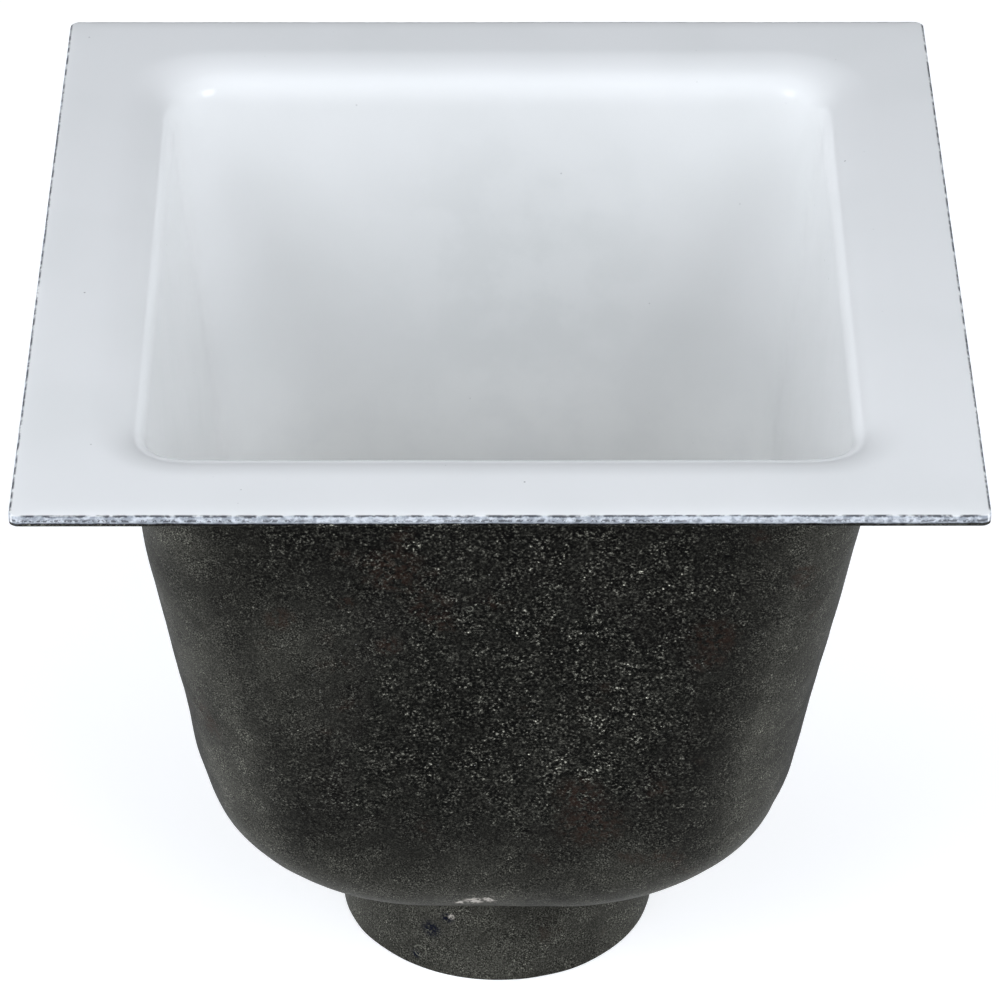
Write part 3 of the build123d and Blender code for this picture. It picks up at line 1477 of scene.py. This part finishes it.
    def build(self, finish: CoatedIronFinish) -> bpy.types.Object:
        """Makes the casting's skin in the place of its solid.

        Args:
            finish: The finish of the iron.

        Returns:
            The piece.
        """
        outside = self.outside()
        shell = Shell("casting_skin", outside + self.hidden())
        piece = shell.build()
        points, normals = (values_of(piece, value) for value in PointValue)
        moved = points + normals * self.unevenness(points)[:, None] * shell.run(0, len(outside))
        set_points(piece, moved, CAD_BOX, self.crease)
        # These values set the finer grain and a painted sheen that lightens the corners and
        # outlet.
        set_attribute(piece, "fineness", self.fineness(points))
        piece.data.materials.append(finish.build())
        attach(piece, self.body)
        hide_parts(self.node)
        return piece

    def unevenness(self, points: np.ndarray) -> np.ndarray:
        """Returns how far the sand mould pushed each point out or in."""
        free = ramp(points[:, 2], *less(self.flange_under, self.uneven_fade))
        return total(self.uneven, points) * free

    def fineness(self, points: np.ndarray) -> np.ndarray:
        """Works out where the grain is finer: on the rounded corners and on the outlet.

        Args:
            points: The points, one row each.

        Returns:
            The fineness and painted sheen at each point, from 0 to 1.
        """
        height, across = points[:, 2], np.abs(points[:, :2])
        share = across.min(axis=1) / np.maximum(across.max(axis=1), 1 * MM)
        above, below = self.corner_fineness
        corner = ramp(share, *self.fine_corners)
        corner *= above + (below - above) * ramp(height, *self.corner_fade)
        fine = np.maximum(corner, ramp(height, *self.fine_low))
        fine = np.maximum(fine, self.fine_front.at(points))
        return np.clip(fine + total(self.patchy, points), 0, 1)


@dataclass
class EnamelCoat:
    """The white coat on the flange and inside the basin.

    Attributes:
        bowl: The bowl's form.
        top: Height of the coat's top.
        flange_half: Half the width of the coated flange.
        coat: Thickness of the coat.
        body: The CAD body that it belongs to.
        node: The CAD node that it replaces.
        flange_corner: Radius of the flange's corners.
        arris: Radius with which the coat turns over at the flange's edge.
        arris_turns: How far the outlines of that turn have turned, in degrees.
        edge_fall: How far the flange's top has fallen at its edge.
        edge_fall_width: Width over which it falls.
        deck_steps: Distances in from the edge of the outlines where it does.
        border_drop: Depth of the coat's lower border under its top.
        border_wander: How far the border wanders up and down.
        border_waves: Pattern of that wandering.
        border_pull: How fast the wandering fades above the border.
        border_fade: How much the outline next to the border frays with it.
        iron_edge: Radius of the iron's edge under the coat.
        iron_edge_drop: Height of the outline over which the coat bends round it.
        seat_turns: How far the outlines of the seat's edge are from upright, in degrees.
        face_rows: Number of outlines up the flange's edge.
        deck_rows: Number of outlines across its top.
        wall_rows: Number of outlines down the bowl.
        back_rows: Number of outlines on the coat's back.
        mouth_passes: Times that the outlines are eased at the mouth.
        deep_passes: Times that they are eased further down.
        ease_depth: Depths at which the easing starts to grow and is full.
        waves: Waves of the coat's surface.
        sink: How far the waves lie inside the solid's surface.
        crease: Angle beyond which an edge stays sharp.
    """

    bowl: Bowl
    top: float
    flange_half: float
    coat: float
    body: str = "sink"
    node: str = "enamel_lining"
    flange_corner: float = 3.2 * MM
    arris: float = 0.7 * MM
    arris_turns: Sequence[float] = (22, 45, 68, 90)
    edge_fall: float = 0.50 * MM
    edge_fall_width: float = 6.5 * MM
    deck_steps: Sequence[float] = (1.4 * MM, 2.4 * MM, 3.6 * MM, 5.0 * MM)
    border_drop: float = 3.35 * MM
    border_wander: float = 0.38 * MM
    border_waves: Sequence[Ripple] = (Ripple(9 * MM, 13.0, 0.6), Ripple(2.6 * MM, 17.0, 0.5))
    border_pull: float = 1.5
    border_fade: float = 0.45
    iron_edge: float = 1.2 * MM
    iron_edge_drop: float = 1.5 * MM
    seat_turns: Sequence[float] = (90, 60, 30, 0)
    face_rows: int = 7
    deck_rows: int = 9
    wall_rows: int = 96
    back_rows: int = 36
    mouth_passes: int = 12
    deep_passes: int = 44
    ease_depth: Span = (12 * MM, 37 * MM)
    waves: Sequence[Ripple] = (
        Ripple(40 * MM, 5.0, 0.07 * MM),
        Ripple(13 * MM, 9.0, 0.01 * MM),
    )
    sink: float = 0.06 * MM
    crease: float = math.radians(50)

    def face(self) -> list[Station]:
        """Lays outlines up the flange's upright edge, from the coat's border.

        Returns:
            The outlines, lowest first.
        """
        low, high = self.top - self.border_drop, self.top - self.edge_fall - self.arris
        heights = np.linspace(low, high, self.face_rows)
        return [Station(self.flange_half, self.flange_corner, height) for height in heights]

    def deck(self, edge: Station) -> list[Station]:
        """Lays outlines over the arris and across the flange's top.

        Args:
            edge: The outline under the arris.

        Returns:
            The outlines, from the edge inwards.
        """
        made = turned_over(edge, self.arris, self.arris_turns)
        for inward in (*self.deck_steps, self.edge_fall_width):
            fallen = self.edge_fall * max(1 - inward / self.edge_fall_width, 0) ** 2
            half, corner = self.flange_half - inward, self.flange_corner + inward
            made.append(Station(half, corner, self.top - fallen))
        return made

    def basin(self, coat: float, rows: int) -> list[Station]:
        """Returns the outlines of the basin from its lip to the throat.

        Args:
            coat: How far the surface lies above the iron.
            rows: Number of outlines down the wall.

        Returns:
            The outlines.
        """
        edge, *seat = self.bowl.seat(coat, self.seat_turns)
        return self.bowl.inside(coat, rows) + [edge] + bridge(edge, seat[0], 1) + seat

    def back(self, border: float) -> list[Station]:
        """Returns the outlines of the coat's back, which lies on the iron.

        Args:
            border: Height of the coat's border.

        Returns:
            The outlines, from the throat to the border.
        """
        half, corner = self.flange_half - self.coat, self.flange_corner - self.coat
        return self.basin(0.0, self.back_rows)[::-1] + [
            Station(half - self.iron_edge, corner, self.bowl.rim),
            Station(half, corner, self.bowl.rim - self.iron_edge_drop),
            Station(half, corner, border),
        ]

    def build(self, finish: EnamelFinish) -> bpy.types.Object:
        """Makes the coat's skin in the place of its solid.

        Args:
            finish: The finish of the enamel.

        Returns:
            The piece.
        """
        face = self.face()
        deck, basin = self.deck(face[-1]), self.basin(self.coat, self.wall_rows)
        front = face + deck + bridge(deck[-1], basin[0], self.deck_rows) + basin
        shell = Shell("enamel_coat", front + self.back(face[0].height))
        piece = shell.build()
        points, normals = (values_of(piece, value) for value in PointValue)
        grid = points.reshape(-1, shell.columns, 3)
        grid[: len(face)], grid[-1] = self._ragged(grid[: len(face)], grid[-1])
        below_deck = slice(len(face) + len(deck), len(front))
        grid[below_deck] = self._eased(grid[below_deck], grid[:, :, 2].max())
        waves = (total(self.waves, points) - self.sink)[:, None]
        moved = points + normals * waves * shell.run(len(face), len(front))
        set_points(piece, moved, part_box(self.node), self.crease)
        set_attribute(piece, "border", self._border(shell))
        piece.data.materials.append(finish.build(self.top, self.flange_half))
        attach(piece, self.body)
        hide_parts(self.node)
        return piece

    def _ragged(self, face: np.ndarray, back: np.ndarray) -> tuple[np.ndarray, np.ndarray]:
        """Lets the coat's lower border wander up and down the flange's edge.

        Args:
            face: The points of the upright edge, one outline after another.
            back: The points of the border's back.

        Returns:
            Both with the border moved.
        """
        wander = total(self.border_waves, face[0]) * self.border_wander
        shares = np.linspace(1, 0, len(face)) ** self.border_pull
        up = np.array([0.0, 0.0, 1.0])
        moved = face + (shares[:, None] * wander)[:, :, None] * up
        return moved, back + wander[:, None] * up

    def _eased(self, part: np.ndarray, top: float) -> np.ndarray:
        """Lets the basin's flats run softly into its corners.

        Args:
            part: The points of the outlines that are eased, one outline after another.
            top: Height of the coat's top.

        Returns:
            The eased points.
        """
        deep = ramp(part[:, :1, 2:], *less(top, self.ease_depth))
        passes = self.mouth_passes + (self.deep_passes - self.mouth_passes) * deep
        for turn in range(self.deep_passes):
            eased = (np.roll(part, 1, axis=1) + 2 * part + np.roll(part, -1, axis=1)) / 4
            part = np.where(turn < passes, eased, part)
        return part

    def _border(self, shell: Shell) -> np.ndarray:
        """Works out how close each point is to the coat's border.

        Args:
            shell: The coat's skin.

        Returns:
            One value for each point, from 0 to 1.
        """
        border = np.zeros((len(shell.stations), shell.columns))
        border[[0, -1]] = 1.0
        border[1] = self.border_fade
        return border.ravel()


@dataclass
class Strainer:
    """The loose dome strainer on the basin's floor.

    Attributes:
        node: The CAD node that it is.
    """

    node: str = "dome_strainer"

    def build(self, finish: CastAluminiumFinish) -> bpy.types.Object:
        """Gives the strainer's solid its finish.

        Args:
            finish: The finish of the metal.

        Returns:
            The piece.
        """
        piece = frame["nodes"][self.node]
        piece.data.materials.clear()
        piece.data.materials.append(finish.build())
        return piece


@dataclass(frozen=True)
class Softbox:
    """A square soft light that faces the sink.

    Attributes:
        name: Its name.
        azimuth: Its direction from the sink in degrees: 0 is in front and 90 to the right.
        elevation: Its height above the horizon in degrees.
        size: Its width.
        power: Its power in watts.
        shines: Whether the sink's gloss mirrors it.
        colour: Its colour.
        distance: How far it hangs from its aim.
        aim: The point that it faces.
    """

    name: str
    azimuth: float
    elevation: float
    size: float
    power: float
    shines: bool = False
    colour: Colour = (0.958, 1.0, 1.07)
    distance: float = 2.0
    aim: Point = (0.0, 0.0, 0.2)

    def build(self) -> bpy.types.Object:
        """Hangs the light in the scene.

        Returns:
            The light.
        """
        light = bpy.data.lights.new(self.name, "AREA")
        light.shape = "RECTANGLE"
        light.size = light.size_y = self.size
        light.energy = self.power
        light.color = self.colour
        turn, rise = math.radians(self.azimuth), math.radians(self.elevation)
        level = self.distance * math.cos(rise)
        off = Vector(
            (level * math.sin(turn), -level * math.cos(turn), self.distance * math.sin(rise))
        )
        lamp = bpy.data.objects.new(self.name, light)
        lamp.location = Vector(self.aim) + off
        lamp.visible_glossy = self.shines
        facing = Vector(self.aim) - lamp.location
        lamp.rotation_euler = facing.to_track_quat("-Z", "Y").to_euler()
        bpy.context.scene.collection.objects.link(lamp)
        return lamp


@dataclass
class Studio:
    """Floor, lights and camera.

    Attributes:
        rim_height: Height of the flange's top, which the camera's place is measured from.
        eye: The camera's place from the middle of the flange's top.
        tilt: How far down it looks.
        pan: How far it is turned to its right.
        roll: How far it leans.
        lens: Its focal length in millimetres.
        sensor: Width of its sensor in millimetres.
        sight: How far it sees.
        floor_size: Width of the floor.
        sky: Strength of the even light from all round.
        lights: The soft lights.
    """

    rim_height: float
    eye: Point = (-6.21 * MM, -1449.2 * MM, 925.4 * MM)
    tilt: float = math.radians(35.343)
    pan: float = math.radians(0.272)
    roll: float = math.radians(0.117)
    lens: float = 185.4
    sensor: float = 36.0
    sight: float = 50.0
    floor_size: float = 14.0
    sky: float = 0.04
    lights: Sequence[Softbox] = (
        Softbox("left_front_softbox", -34, 36, 0.75, 6.0, shines=True),
        Softbox("right_front_softbox", 28, 36, 0.75, 7.5, shines=True),
        Softbox("overhead_softbox", 0, 74, 2.2, 5.0, shines=True),
        Softbox("low_front_softbox", 0, 20, 1.4, 8.0),
        Softbox("left_wide_softbox", -57, 38, 1.0, 9.0),
        Softbox("right_wide_softbox", 57, 38, 1.0, 11.0),
        Softbox("left_side_softbox", -88, 8, 1.3, 26.0),
        Softbox("right_side_softbox", 90, 8, 1.0, 11.0),
        Softbox("left_high_softbox", -80, 26, 1.2, 5.5),
        Softbox("right_high_softbox", 80, 26, 1.2, 7.5),
        Softbox("back_softbox", 180, 8, 1.6, 4.0),
    )

    def build(self) -> None:
        """Sets up the floor, the sky, the lights and the camera."""
        self._floor()
        self._sky()
        for softbox in self.lights:
            softbox.build()
        self._camera()
        bpy.context.scene.view_settings.view_transform = "Standard"

    def _floor(self) -> None:
        """Lays the pale floor under the sink."""
        half = self.floor_size / 2
        mesh = bpy.data.meshes.new("studio_floor")
        corners = [(-half, -half, 0), (half, -half, 0), (half, half, 0), (-half, half, 0)]
        mesh.from_pydata(corners, [], [(0, 1, 2, 3)])
        mesh.materials.append(FloorFinish().build())
        floor = bpy.data.objects.new("studio_floor", mesh)
        bpy.context.scene.collection.objects.link(floor)

    def _sky(self) -> None:
        """Fills the room with even white light."""
        world = bpy.data.worlds.new("studio_sky")
        world.use_nodes = True
        backdrop = world.node_tree.nodes["Background"]
        backdrop.inputs["Color"].default_value = (1.0, 1.0, 1.0, 1.0)
        backdrop.inputs["Strength"].default_value = self.sky
        bpy.context.scene.world = world

    def _camera(self) -> None:
        """Places the camera at the photographed angle."""
        camera = bpy.data.cameras.new("camera")
        camera.lens = self.lens
        camera.sensor_width = self.sensor
        camera.clip_end = self.sight
        viewer = bpy.data.objects.new("camera", camera)
        viewer.location = Vector(self.eye) + Vector((0.0, 0.0, self.rim_height))
        turn = Euler((0.0, 0.0, -self.pan)).to_matrix()
        look = Euler((math.pi / 2 - self.tilt, 0.0, 0.0)).to_matrix()
        lean = Euler((0.0, 0.0, self.roll)).to_matrix()
        viewer.rotation_euler = (turn @ look @ lean).to_euler()
        bpy.context.scene.collection.objects.link(viewer)
        bpy.context.scene.camera = viewer


def mount(name: str) -> Mapping[str, object]:
    """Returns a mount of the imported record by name."""
    return next(m for m in frame["record"]["mounts"] if m["name"] == name)


def main() -> None:
    """Builds the studio and dresses the sink, piece by piece."""
    _, iron_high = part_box("sink_casting")
    coat_low, coat_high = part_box("enamel_lining")
    bowl = Bowl(
        rim=iron_high.z,
        spigot_radius=mount("outlet_spigot")["dims"]["r_mm"] * MM,
        bore_radius=mount("outlet_bore")["dims"]["r_mm"] * MM,
        throat_height=coat_low.z,
    )
    casting = Casting(
        bowl=bowl,
        flange_half=iron_high.x,
        coat_half=coat_high.x,
        flange_under=mount("flange_underside")["pos_m"][2],
    )
    coat = EnamelCoat(
        bowl=bowl,
        top=coat_high.z,
        flange_half=coat_high.x,
        coat=coat_high.z - iron_high.z,
    )
    Studio(rim_height=coat_high.z).build()
    pieces = [
        casting.build(CoatedIronFinish()),
        coat.build(EnamelFinish()),
        Strainer().build(CastAluminiumFinish()),
    ]
    for piece in pieces:
        log.info("%s: %d faces", piece.name, len(piece.data.polygons))


if __name__ == "__main__":
    logging.basicConfig(level=logging.INFO)
    main()
